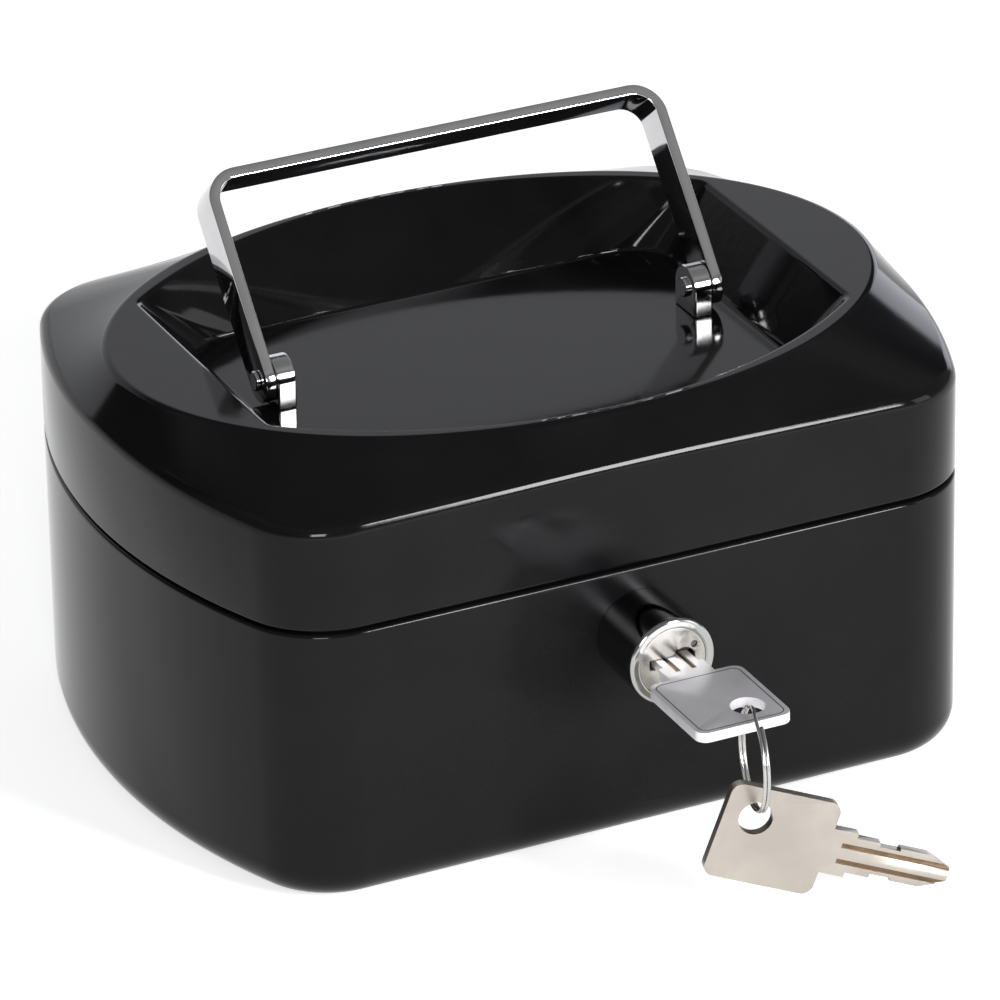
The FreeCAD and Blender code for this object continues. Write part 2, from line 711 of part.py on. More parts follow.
def make_nut():
    """Six-sided nut that draws the barrel against the front wall."""
    body = new_body("lock_nut")
    plan = sketch_on(body, "nut_outline", "XZ_Plane", lift="-sheet_thickness")
    corner = f"nut_across / {math.sqrt(3)}"
    corners = []
    for side in range(6):
        turn = math.radians(60 * side)
        corners.append((f"{math.cos(turn):.9f} * {corner}", f"{math.sin(turn):.9f} * {corner}"))
    polygon(plan, corners)
    circle(plan, "shank_diameter + 2 * fixed_clearance")
    extrude(body, "Pad", "nut", plan, "nut_thickness", back=True)
    place(body, y=f"-{half_depth}", z=lock_z)
    return body


def make_plug():
    """Turning core of the lock: head, body, square for the cam, keyway with a round recess, dimple and hole."""
    body = new_body("lock_plug")
    face = "(plug_recess - barrel_projection)"
    step = "plug_head_length - barrel_projection - plug_play"
    profile = sketch_on(body, "plug_profile")
    polygon(profile, [
        ("0", face),
        ("plug_head_diameter / 2", face),
        ("plug_head_diameter / 2", step),
        ("plug_body_diameter / 2", step),
        ("plug_body_diameter / 2", cam_front),
        ("0", cam_front),
    ])
    revolve(body, "core", profile, "V_Axis")
    square = sketch_on(body, "square_outline", "XZ_Plane", lift=f"-{cam_front}")
    rectangle(square, "-drive_square / 2", "drive_square / 2", "-drive_square / 2", "drive_square / 2")
    extrude(body, "Pad", "square", square, "cam_thickness", back=True)
    keyway = sketch_on(body, "keyway_outline", "XZ_Plane", lift="barrel_projection")
    across, up = "(blade_width / 2 + side_clearance)", "(key_thickness / 2 + side_clearance)"
    rectangle(keyway, f"-{across}", across, f"-{up}", up)
    extrude(body, "Pocket", "keyway", keyway, f"{key_depth} + plug_recess + side_clearance")
    recess = sketch_on(body, "recess_outline", "XZ_Plane", lift="barrel_projection")
    circle(recess, "recess_diameter", "recess_across", "0")
    extrude(body, "Pocket", "key_recess", recess, "plug_recess + recess_depth")
    dimple = sketch_on(body, "index_outline", "XZ_Plane", lift="barrel_projection")
    circle(dimple, "index_diameter", "index_across", "index_up")
    extrude(body, "Pocket", "index_dimple", dimple, "plug_recess + index_depth")
    hole = sketch_on(body, "screw_hole_outline", "XZ_Plane", lift=f"-{cam_rear}")
    circle(hole, "cam_screw_diameter + 2 * fixed_clearance")
    extrude(body, "Pocket", "screw_hole", hole, "cam_screw_length + fixed_clearance", back=True)
    place(body, y=f"-{half_depth}", z=lock_z)
    return body


def make_cam():
    """Latch plate: a hook that is part of a ring about the lock's axis, so it passes through the strike."""

    def primitive(kind, name, **formulas):
        item = doc.addObject(f"Part::{kind}", name)
        for property_name, formula in formulas.items():
            item.setExpression(property_name, expr(formula))
        return item

    hub = primitive("Cylinder", "cam_hub_disc", Radius="cam_hub / 2", Height="cam_thickness")
    rim = primitive("Cylinder", "cam_rim", Radius=hook_outer, Height="cam_thickness", Angle="cam_sweep")
    rim.Placement = Placement(Vector(), Rotation(Vector(0, 0, 1), -value("cam_lead")))
    hollow = primitive("Cylinder", "cam_hollow", Radius=hook_inner, Height="cam_thickness")
    hook = doc.addObject("Part::Cut", "cam_hook")
    hook.Base = rim
    hook.Tool = hollow
    arm = primitive("Box", "cam_arm", Length=f"{hook_inner} + cam_hook_width / 2", Width="cam_hook_width",
                    Height="cam_thickness")
    tail = value("cam_sweep - cam_lead")
    half_turn = math.degrees(math.asin(value(f"cam_hook_width / 2 / {hook_outer}")))
    swing = Rotation(Vector(0, 0, 1), tail - half_turn)
    arm.Placement = Placement(swing.multVec(Vector(0, -value("cam_hook_width / 2"), 0)), swing)
    plate = doc.addObject("Part::MultiFuse", "cam_plate")
    plate.Shapes = [hub, hook, arm]
    square = primitive("Box", "cam_square", Length="drive_square + 2 * fixed_clearance",
                       Width="drive_square + 2 * fixed_clearance", Height="cam_thickness")
    place(square, "-drive_square / 2 - fixed_clearance", "-drive_square / 2 - fixed_clearance")
    cam = doc.addObject("Part::Cut", "lock_cam")
    cam.Base = plate
    cam.Tool = square
    place(cam, y=f"{cam_front} - {half_depth}", z=lock_z, rotation=Rotation(Vector(1, 0, 0), -90))
    return cam


def make_cam_screw():
    """Pan-head screw that holds the cam on its square."""
    body = new_body("cam_screw")
    tip = f"{cam_rear} - cam_screw_length"
    crown = f"{cam_rear} + cam_screw_head_height"
    profile = sketch_on(body, "screw_profile")
    polygon(profile, [
        ("0", tip),
        ("cam_screw_diameter / 2", tip),
        ("cam_screw_diameter / 2", cam_rear),
        ("cam_screw_head / 2", cam_rear),
        ("cam_screw_head / 3", crown),
        ("0", crown),
    ])
    revolve(body, "screw", profile, "V_Axis")
    place(body, y=f"-{half_depth}", z=lock_z)
    return body


def make_strike():
    """Bent bracket inside the lid's front skirt, with a windowed tab that hangs into the cam's path."""
    body = new_body("lid_strike")
    skirt = f"(sheet_thickness - {half_depth})"
    low = f"max({neck_top} + tray_plate; {lock_z} + {hook_outer} + 2 * window_clearance)"
    tab_front = f"({cam_front} - window_clearance - strike_bar - {half_depth})"
    tab_rear = f"({cam_rear} + window_clearance + strike_bar - {half_depth})"
    bracket = sketch_on(body, "bracket_outline", "YZ_Plane")
    polygon(bracket, [
        (skirt, low),
        (tab_rear, low),
        (tab_rear, f"{low} + strike_thickness"),
        (f"{skirt} + strike_thickness", f"{low} + strike_thickness"),
        (f"{skirt} + strike_thickness", f"{low} + strike_flange"),
        (skirt, f"{low} + strike_flange"),
    ])
    extrude(body, "Pad", "bracket", bracket, "strike_width", both=True)
    sill = f"{lock_z} + {hook_inner} - window_clearance"
    tab = sketch_on(body, "tab_outline", "YZ_Plane")
    rectangle(tab, tab_front, tab_rear, f"{sill} - strike_sill", f"{low} + strike_thickness")
    extrude(body, "Pad", "tab", tab, "strike_thickness", both=True)
    window = sketch_on(body, "window_outline", "YZ_Plane")
    rectangle(window, f"{tab_front} + strike_bar", f"{tab_rear} - strike_bar", sill,
              f"{lock_z} + {hook_outer} + window_clearance")
    extrude(body, "Pocket", "window", window, "2 * strike_thickness", both=True)
    return body


def make_key(label):
    """Flat key: square bow with a ring hole near one corner, stepped blade with two grooves a side."""
    body = new_body(label)
    rows, along = [("bow_width / 2", "0"), ("bow_width / 2", "bow_length")], "bow_length"
    half = "blade_width / 2"
    steps = ["", " - first_step", " - notch_depth", " + bump_height"]
    runs = ["root_length", "first_length", "notch_length", "bump_length"]
    for step, run in zip(steps, runs):
        half += step
        rows.append((half, along))
        along += f" + {run}"
        rows.append((half, along))
    rows.append(("tip_width / 2", f"{along} + tip_length"))
    plan = sketch_on(body, "key_outline")
    polygon(plan, rows + [(f"-({x})", y) for x, y in reversed(rows)])
    circle(plan, "ring_hole", "ring_hole_offset", "ring_hole_inset")
    extrude(body, "Pad", "blank", plan, "key_thickness", both=True)
    half_bow, bow = value("bow_width / 2"), value("bow_length")

    def at_bow_corner(box):
        upright = box.ZLength > 1e-3 and near(box.XLength, 0)
        return upright and near(abs(box.XMax), half_bow) and (near(box.YMax, 0) or near(box.YMax, bow))

    round_edges(body, "bow_corners", "bow_corner", at_bow_corner)
    for face, back in (("key_thickness / 2", False), ("-key_thickness / 2", True)):
        name = "lower" if back else "upper"
        grooves = sketch_on(body, f"{name}_grooves_outline", lift=face)
        for side in ("-groove_spacing / 2", "groove_spacing / 2"):
            rectangle(grooves, f"{side} - groove_width / 2", f"{side} + groove_width / 2",
                      "bow_length + root_length / 2", f"bow_length + {blade_length} + tip_width")
        extrude(body, "Pocket", f"{name}_grooves", grooves, "groove_depth", back=back)
    return body


yaw = math.radians(value("ring_yaw"))
droop = math.radians(value("spare_droop"))
ring_forward = Vector(-math.sin(yaw), -math.cos(yaw), 0)
ring_across = Vector(math.cos(yaw), -math.sin(yaw), 0)
key_end = f"-({half_depth} + barrel_projection + key_exposed + bow_length - plug_recess)"
hole_point = Vector(value("ring_hole_offset"), value(f"{key_end} + ring_hole_inset"), value(lock_z))
bridge = (value("ring_hole / 2") + value("ring_hole_inset") / math.cos(yaw)) / 2
ring_drop = value("ring_diameter / 2 - wire_diameter / 2 - key_thickness / 2 - ring_clearance")
ring_middle = hole_point + ring_forward * bridge - Vector(0, 0, ring_drop)


def make_ring():
    """Ring that hangs over the bow's end between its hole and its edge."""
    ring = doc.addObject("Part::Torus", "key_ring")
    ring.setExpression("Radius1", expr("ring_diameter / 2"))
    ring.setExpression("Radius2", expr("wire_diameter / 2"))
    upright = Rotation(Vector(0, 0, 1), -value("ring_yaw")) * Rotation(Vector(0, 1, 0), 90)
    ring.Placement = Placement(ring_middle, upright)
    return ring


def make_keys():
    """The key in the lock, and its twin that hangs on the ring."""
    key = make_key("key")
    place(key, y=key_end, z=lock_z)
    spare = make_key("spare_key")
    blade = ring_across * math.cos(droop) - Vector(0, 0, math.sin(droop))
    upward = ring_across * math.sin(droop) + Vector(0, 0, math.cos(droop))
    turn = Rotation(upward, blade, upward.cross(blade), "XYZ")
    hang = value("ring_diameter / 2 + ring_hole / 2 - wire_diameter / 2 - ring_clearance")
    hole = turn.multVec(Vector(value("ring_hole_offset"), value("ring_hole_inset"), 0))
    spare.Placement = Placement(ring_middle - Vector(0, 0, hang) - hole, turn)
    return key, spare


def make_tray():
    """Lift-out tray: a plate that rests on the neck, with four coin cups and a long trough hanging in it."""
    body = new_body("coin_tray")
    rim = box_outline(body, "plate_outline", neck_top, f"({neck_inset} + plate_setback)")
    extrude(body, "Pad", "plate", rim, "tray_plate")
    edge = f"(lock_room - {half_depth})"
    trim = sketch_on(body, "trim_outline", lift=f"{neck_top} + tray_plate")
    rectangle(trim, "-box_length", "box_length", "-box_depth", edge)
    extrude(body, "Pocket", "trim", trim, "2 * tray_plate")
    front = f"({edge} + tray_lip)"
    rear = f"({half_depth} - {neck_inset} - sheet_thickness - tray_clearance)"
    side = f"({half_length} - tray_end_margin)"
    block = sketch_on(body, "block_outline", lift=neck_top)
    rounded_rectangle(block, f"-{side}", side, front, rear, "tray_corner")
    extrude(body, "Pad", "block", block, "tray_depth", back=True)
    cups = sketch_on(body, "cups_outline", lift=f"{neck_top} + tray_plate")
    divide = f"({front} + tray_wall + cup_length)"
    pitch = f"((2 * {side} - tray_wall) / 4)"
    corner = "(tray_corner - tray_wall)"
    for index in range(4):
        left = f"({index} * {pitch} + tray_wall - {side})"
        right = f"{left} + {pitch} - tray_wall"
        rounded_rectangle(cups, left, right, f"{front} + tray_wall", divide, corner)
    rounded_rectangle(cups, f"tray_wall - {side}", f"{side} - tray_wall", f"{divide} + tray_wall",
                      f"{rear} - tray_wall", corner)
    extrude(body, "Pocket", "cups", cups, "tray_plate + tray_depth - tray_wall")
    bottom = f"({neck_top} - tray_depth)"
    round_edges(body, "cup_edges", "cup_round - tray_wall", level(f"{bottom} + tray_wall"))
    round_edges(body, "block_edge", "cup_round", level(bottom))
    return body


pieces = [
    make_base(),
    make_lid(),
    make_handle(),
    make_lug("handle_lug_left", "-"),
    make_lug("handle_lug_right", ""),
    make_handle_pin("handle_pin_left", 180),
    make_handle_pin("handle_pin_right", 0),
    make_washers(),
    make_leaf("hinge_leaf_base", (0, 2, 4), 0),
    make_leaf("hinge_leaf_lid", (1, 3), 180),
    make_hinge_pin(),
    make_rivets("hinge_rivets_base", f"{hinge_z} - rivet_setback"),
    make_rivets("hinge_rivets_lid", f"{hinge_z} + rivet_setback"),
    make_housing(),
    make_nut(),
    make_plug(),
    make_cam(),
    make_cam_screw(),
    make_strike(),
    *make_keys(),
    make_ring(),
    make_tray(),
]
doc.recompute()

for item in doc.Objects:
    if {"Invalid", "Error"} & set(item.State):
        raise RuntimeError(f"{item.Label} failed: {item.State}")
    cuts = item.TypeId in ("PartDesign::Pocket", "PartDesign::SubtractiveLoft")
    if cuts and item.Shape.Volume > item.BaseFeature.Shape.Volume - 1e-6:
        raise RuntimeError(f"{item.Label} cuts nothing")
for piece in pieces:
    if piece.Shape.isNull() or not piece.Shape.isValid():
        raise RuntimeError(f"{piece.Label} has no valid shape")

os.makedirs("parts", exist_ok=True)
for piece in pieces:
    piece.Shape.exportStep(f"parts/{piece.Label}.step")
    print(f"{piece.Label}: {len(piece.Shape.Solids)} solid(s), {piece.Shape.Volume:.1f} mm3")
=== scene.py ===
from math import acos, asin, cos, pi, radians, sin, sqrt

import bmesh
import bpy
import numpy as np
from mathutils import Matrix


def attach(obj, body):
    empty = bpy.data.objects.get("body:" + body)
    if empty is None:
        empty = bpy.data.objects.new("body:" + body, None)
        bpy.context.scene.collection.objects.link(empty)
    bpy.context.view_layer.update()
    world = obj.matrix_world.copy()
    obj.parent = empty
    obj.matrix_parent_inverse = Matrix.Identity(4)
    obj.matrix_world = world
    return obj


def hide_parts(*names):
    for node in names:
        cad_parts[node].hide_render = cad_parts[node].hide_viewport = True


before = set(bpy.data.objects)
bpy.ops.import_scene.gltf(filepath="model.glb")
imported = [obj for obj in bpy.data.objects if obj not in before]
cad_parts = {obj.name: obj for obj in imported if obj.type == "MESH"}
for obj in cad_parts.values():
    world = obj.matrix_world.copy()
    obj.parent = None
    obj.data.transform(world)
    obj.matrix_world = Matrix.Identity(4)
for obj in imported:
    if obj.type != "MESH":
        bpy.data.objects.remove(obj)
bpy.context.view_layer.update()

# Lower shell: one steel sheet drawn deep, with a rounded bottom edge and a neck set in at the top
# that the lid closes over. It is dipped in gloss black lacquer, inside and out, and rubbed dull round the lock.


def rounded_line(*stretches):
    """Closed line and its outward normals, anticlockwise from the middle of the front.

    In each stretch of the front right quarter a centre slides from start to end while the normal turns from one
    angle to another, in even steps, and the point lies a radius from the centre along the normal (sin a, -cos a).
    The quarter is mirrored to make a half, and the half is turned to make the whole.
    """
    points, normals = [], []
    for steps, start, end, radius, first, last in stretches:
        part = (np.arange(steps)[:, None] + 0.5) / steps
        turn = first + (last - first) * part
        normals.append(np.concatenate([np.sin(turn), -np.cos(turn)], -1))
        points.append(start + np.subtract(end, start) * part + radius * normals[-1])
    quarters = [np.concatenate(run) for run in (points, normals)]
    halves = [np.concatenate([quarter, quarter[::-1] * (1, -1)]) for quarter in quarters]
    return [np.concatenate([half, -half]) for half in halves]


def box_line(fine):
    """Outline of the box: straight front, corner of 16.6 mm and an end bowed to 120 mm."""
    length, depth, corner, bow = 76.0, 56.0, 16.6, 120.0
    corner_y = corner - depth
    corner_x = length - bow + sqrt((bow - corner) ** 2 - corner_y ** 2)
    meet = acos(-corner_y / (bow - corner))
    return rounded_line(
        (26 * fine, (0, corner_y), (corner_x, corner_y), corner, 0, 0),
        (30 * fine, (corner_x, corner_y), (corner_x, corner_y), corner, 0, meet),
        (30 * fine, (length - bow, 0), (length - bow, 0), bow, meet, pi / 2),
    )


def section(corners, radii, steps=10, support=0.25):
    """Rows of a section whose corners are turned by true arcs.

    Corner C between P and N is set back by r tan(turn / 2) along both sides and joined by the rational
    curve (A (1-t)^2 + 2 w C t (1-t) + B t^2) / ((1-t)^2 + 2 w t (1-t) + t^2) with w = cos(turn / 2).
    A row lies close to each end of an arc, so that the flats beside it stay flat in the shading.
    """
    rows = [corners[0]]
    t = np.linspace(0, 1, steps + 1)[:, None, None]
    for before, corner, after, radius in zip(corners, corners[1:], corners[2:], radii):
        back, ahead = before - corner, after - corner
        back_length = np.linalg.norm(back, axis=-1, keepdims=True)
        ahead_length = np.linalg.norm(ahead, axis=-1, keepdims=True)
        back, ahead = back / back_length, ahead / ahead_length
        half = (pi - np.arccos(np.clip((back * ahead).sum(-1, keepdims=True), -1, 1))) / 2
        setback = np.minimum(radius * np.tan(half), 0.45 * np.minimum(back_length, ahead_length))
        weight = 2 * np.cos(half) * t * (1 - t)
        start, end = corner + setback * back, corner + setback * ahead
        curve = (start * (1 - t) ** 2 + weight * corner + end * t ** 2) / ((1 - t) ** 2 + weight + t ** 2)
        rows += [start + np.minimum(support, 0.5 * (back_length - setback)) * back, *curve]
        rows += [end + np.minimum(support, 0.5 * (ahead_length - setback)) * ahead]
    return np.stack(rows + [corners[-1]])


def skin(name, rows, material, body, slot, *nodes):
    """Piece from a grid of points in millimetres: each row is a closed ring, joined to the next by quads.

    A row that shrinks to one point closes as a pole. The piece rides on a body and stands for CAD nodes.
    """
    count, around = rows.shape[:2]
    index = np.arange(count * around).reshape(count, around)
    low, high = index[:-1], index[1:]
    quads = np.stack([low, np.roll(low, -1, 1), np.roll(high, -1, 1), high], -1).reshape(-1)
    mesh = bpy.data.meshes.new(name)
    mesh.vertices.add(count * around)
    mesh.vertices.foreach_set("co", (rows / 1000).astype(np.float32).reshape(-1))
    mesh.loops.add(len(quads))
    mesh.loops.foreach_set("vertex_index", quads.astype(np.int32))
    mesh.polygons.add(len(quads) // 4)
    mesh.polygons.foreach_set("loop_start", np.arange(0, len(quads), 4, dtype=np.int32))
    mesh.update(calc_edges=True)
    return dress(name, mesh, material, body, nodes)


def dress(name, mesh, material, body, nodes):
    """Object of a mesh whose doubles are merged and whose faces point outwards, shaded smooth."""
    work = bmesh.new()
    work.from_mesh(mesh)
    bmesh.ops.remove_doubles(work, verts=work.verts, dist=1e-7)
    bmesh.ops.recalc_face_normals(work, faces=work.faces)
    work.to_mesh(mesh)
    work.free()
    mesh.polygons.foreach_set("use_smooth", np.ones(len(mesh.polygons), bool))
    mesh.materials.append(material)
    piece = bpy.data.objects.new(name, mesh)
    bpy.context.collection.objects.link(piece)
    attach(piece, body)
    if nodes:
        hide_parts(*nodes)
    return piece


def new_material(name, colour, metallic, roughness, **plain):
    """Material with a principled shader, its plain values on the shader's own sockets."""
    material = bpy.data.materials.new(name)
    material.use_nodes = True
    shader = material.node_tree.nodes["Principled BSDF"]
    shader.inputs["Base Color"].default_value = (*colour, 1)
    shader.inputs["Metallic"].default_value = metallic
    shader.inputs["Roughness"].default_value = roughness
    for socket, number in plain.items():
        shader.inputs[socket.replace("_", " ")].default_value = number
    return material, shader


def node(tree, kind, links=(), **values):
    """Shader node with its settings, its plain inputs and its links from other nodes' outputs."""
    made = tree.nodes.new(kind)
    for key, setting in values.items():
        if hasattr(made, key):
            setattr(made, key, setting)
        else:
            made.inputs[key.replace("_", " ")].default_value = setting
    for socket, source in dict(links).items():
        tree.links.new(source, made.inputs[socket])
    return made


def group_tree(name, inputs, outputs):
    """Empty node group with named number inputs and outputs."""
    tree = bpy.data.node_groups.new(name, "ShaderNodeTree")
    for label, start in inputs.items():
        tree.interface.new_socket(label, in_out="INPUT", socket_type="NodeSocketFloat").default_value = start
    for label in outputs:
        tree.interface.new_socket(label, in_out="OUTPUT", socket_type="NodeSocketFloat")
    return tree, tree.nodes.new("NodeGroupInput").outputs, tree.nodes.new("NodeGroupOutput").inputs


def handling_group():
    """Wear that a box picks up in use: broad wiped patches, and a fine ripple of the plated or lacquered skin."""
    tree, given, out = group_tree("handling", {"Patch Scale": 40, "Ripple Scale": 900}, ("Patches", "Ripple"))
    place = node(tree, "ShaderNodeTexCoord").outputs["Object"]
    cloud = node(tree, "ShaderNodeTexNoise", {"Vector": place, "Scale": given["Patch Scale"]}, Detail=6, Roughness=0.6)
    wiped = node(tree, "ShaderNodeMapRange", {"Value": cloud.outputs["Fac"]}, From_Min=0.35, From_Max=0.7)
    ripple = node(tree, "ShaderNodeTexNoise", {"Vector": place, "Scale": given["Ripple Scale"]}, Detail=2)
    tree.links.new(wiped.outputs["Result"], out["Patches"])
    tree.links.new(ripple.outputs["Fac"], out["Ripple"])
    return tree


handling = handling_group()


def worn(material, shader, rough, ripple, patch_scale=40, ripple_scale=900):
    """Let the handling group vary a material's roughness between two values and ripple its normal.

    Gives the mask of the wiped patches.
    """
    tree = material.node_tree
    wear = node(tree, "ShaderNodeGroup", node_tree=handling, Patch_Scale=patch_scale, Ripple_Scale=ripple_scale)
    spread = node(tree, "ShaderNodeMapRange", {"Value": wear.outputs["Patches"]}, To_Min=rough[0], To_Max=rough[1])
    tree.links.new(spread.outputs["Result"], shader.inputs["Roughness"])
    bump = node(tree, "ShaderNodeBump", {"Height": wear.outputs["Ripple"]}, Strength=ripple, Distance=0.0001)
    tree.links.new(bump.outputs["Normal"], shader.inputs["Normal"])
    return wear.outputs["Patches"]


def tinted(material, shader, mask, low, high):
    """Let a mask run the base colour between two colours."""
    mix = node(material.node_tree, "ShaderNodeMix", data_type="RGBA")
    mix.inputs[6].default_value = (*low, 1)
    mix.inputs[7].default_value = (*high, 1)
    material.node_tree.links.new(mask, mix.inputs[0])
    material.node_tree.links.new(mix.outputs[2], shader.inputs["Base Color"])


def rubbed_dull(material, shader, place, near, far, roughness):
    """Raise a material's roughness round a place, fading from a near to a far distance."""
    tree = material.node_tree
    where = node(tree, "ShaderNodeTexCoord").outputs["Object"]
    away = node(tree, "ShaderNodeVectorMath", {0: where}, operation="DISTANCE")
    away.inputs[1].default_value = place
    dull = node(tree, "ShaderNodeMapRange", {"Value": away.outputs["Value"]}, From_Min=near, From_Max=far,
                To_Min=roughness, To_Max=0)
    plain = shader.inputs["Roughness"].links[0].from_socket
    rough = node(tree, "ShaderNodeMath", {0: plain, 1: dull.outputs["Result"]}, operation="MAXIMUM")
    tree.links.new(rough.outputs[0], shader.inputs["Roughness"])


lock_place = np.array((0, -56, 39.3))
lacquer, lacquer_shader = new_material("black_lacquer", (0.006, 0.006, 0.007), 0, 0.07, Specular_IOR_Level=0.15)
lacquer_wear = worn(lacquer, lacquer_shader, (0.07, 0.11), 0.05, ripple_scale=420)
tinted(lacquer, lacquer_shader, lacquer_wear, (0.0035, 0.0035, 0.004), (0.006, 0.006, 0.0065))
rubbed_dull(lacquer, lacquer_shader, lock_place / 1000, 0.02, 0.04, 0.24)

outline, outward = box_line(1)


def drawn_shell(profile, radii):
    """Rings of the box outline, drawn in along its normal by the first value of each profile row, at the height
    of the second. Poles in the middle close both ends."""
    rows = section(np.array(profile, float)[:, None, :], radii)[:, 0]
    rings = outline[None] - rows[:, :1, None] * outward[None]
    shell = np.concatenate([rings, np.broadcast_to(rows[:, 1:, None], (*rings.shape[:2], 1))], -1)
    poles = shell[[0, -1]] * (0, 0, 1)
    return np.concatenate([poles[:1], shell, poles[1:]])


base_wall = [
    (14, 0), (0, 0), (0, 51.6), (1.6, 51.6), (1.6, 58.6),
    (2.6, 58.6), (2.6, 50.6), (1, 50.6), (1, 1), (14, 1),
]
base_rounds = [6.0, 1.2, 0.3, 0.35, 0.35, 0.3, 0.3, 5.0]
skin("lower_shell", drawn_shell(base_wall, base_rounds), lacquer, "base", "box_lacquer", "base_shell")

# Lid: pressed from one sheet in a single stroke, from the plain skirt over a sloping shoulder to an oval
# crest, and down again into the sunk dish that takes the handle. Lacquered like the lower shell.


def dish_lines():
    """Opening and floor of the dish, point for point: bow stands over side, corner over corner, end over end.

    The opening has bows of 85 mm radius at front and rear, corners of 4 mm and straight ends. The floor is a
    rectangle with corners of 8 mm.
    """
    length, depth, corner, sag = 55.5, 48.6, 4.0, 20.6
    bow = (length ** 2 + sag ** 2) / (2 * sag)
    corner_x = length - corner
    corner_y = bow - depth - sqrt((bow - corner) ** 2 - corner_x ** 2)
    meet = asin(corner_x / (bow - corner))
    opening, _ = rounded_line(
        (90, (0, bow - depth), (0, bow - depth), bow, 0, meet),
        (24, (corner_x, corner_y), (corner_x, corner_y), corner, meet, pi / 2),
        (30, (corner_x, corner_y), (corner_x, 0), corner, pi / 2, pi / 2),
    )
    bend, bend_x, bend_y = 8.0, 38.5, -22.4
    floor, _ = rounded_line(
        (90, (0, bend_y), (bend_x, bend_y), bend, 0, 0),
        (24, (bend_x, bend_y), (bend_x, bend_y), bend, 0, pi / 2),
        (30, (bend_x, bend_y), (bend_x, 0), bend, pi / 2, pi / 2),
    )
    return opening, floor


def lid_rows():
    """Outer and inner side of the lid in one run of rows.

    Each column goes up the skirt, over the shoulder to the oval 70.5 x 50.2 mm, across the rim to a point of
    the dish's opening, down the wall to the floor's point and on to the middle. Skirt and oval are met along
    the opening point's polar angle. The inner side is the same surface moved in by the sheet's 1 mm along its
    normal, and a half-round edge joins the two at the skirt's foot.
    """
    crest_x, crest_y = 70.5, 50.2
    foot_z, shoulder_z, crest_z, floor_z, sheet = 52.8, 71.2, 79.0, 67.5, 1.0
    opening, floor = dish_lines()
    angles = np.arctan2(opening[:, 1], opening[:, 0])
    ray = np.stack([np.cos(angles), np.sin(angles)], -1)
    fine, _ = box_line(40)
    turn = np.arctan2(fine[:, 1], fine[:, 0])
    order = np.argsort(turn)
    skirt = np.interp(angles, turn[order], np.hypot(*fine.T)[order], period=2 * pi)[:, None] * ray
    crest = ray / np.hypot(ray[:, :1] / crest_x, ray[:, 1:] / crest_y)
    places = (skirt, skirt, crest, opening, floor, 0.05 * floor)
    heights = (foot_z, shoulder_z, crest_z, crest_z, floor_z, floor_z)
    corners = np.stack([np.insert(place, 2, height, -1) for place, height in zip(places, heights)])
    outer = section(corners, [3.0, 1.8, 1.6, 2.0], steps=12)
    along = np.gradient(outer, axis=0)
    around = (np.roll(outer, -1, 1) - np.roll(outer, 1, 1)) / 2
    normal = np.cross(around, along)
    normal /= np.linalg.norm(normal, axis=-1, keepdims=True)
    inner = outer - sheet * normal
    over = np.linspace(0, pi, 9)[1:-1, None, None]
    middle, half = (outer[0] + inner[0]) / 2, (outer[0] - inner[0]) / 2
    foot = middle + half * np.cos(over) - np.array((0, 0, sheet / 2)) * np.sin(over)
    ends = [np.broadcast_to(np.array((0, 0, z)), (1, *outer.shape[1:])) for z in (floor_z - sheet, floor_z)]
    return np.concatenate([ends[0], inner[::-1], foot[::-1], outer, ends[1]])


skin("pressed_lid", lid_rows(), lacquer, "lid", "box_lacquer", "lid_shell")

# Carrying handle: flat steel strip of 8 x 2 mm, bent twice into a bail, its leg ends rounded about the pins,
# polished and chromed.

chrome, chrome_shader = new_material("handle_chrome", (0.62, 0.62, 0.63), 1, 0.07)
chrome_wear = worn(chrome, chrome_shader, (0.04, 0.11), 0.02, patch_scale=90, ripple_scale=700)
tinted(chrome, chrome_shader, chrome_wear, (0.60, 0.60, 0.61), (0.66, 0.66, 0.67))
pivot_y, pivot_z = 2.0, 72.2


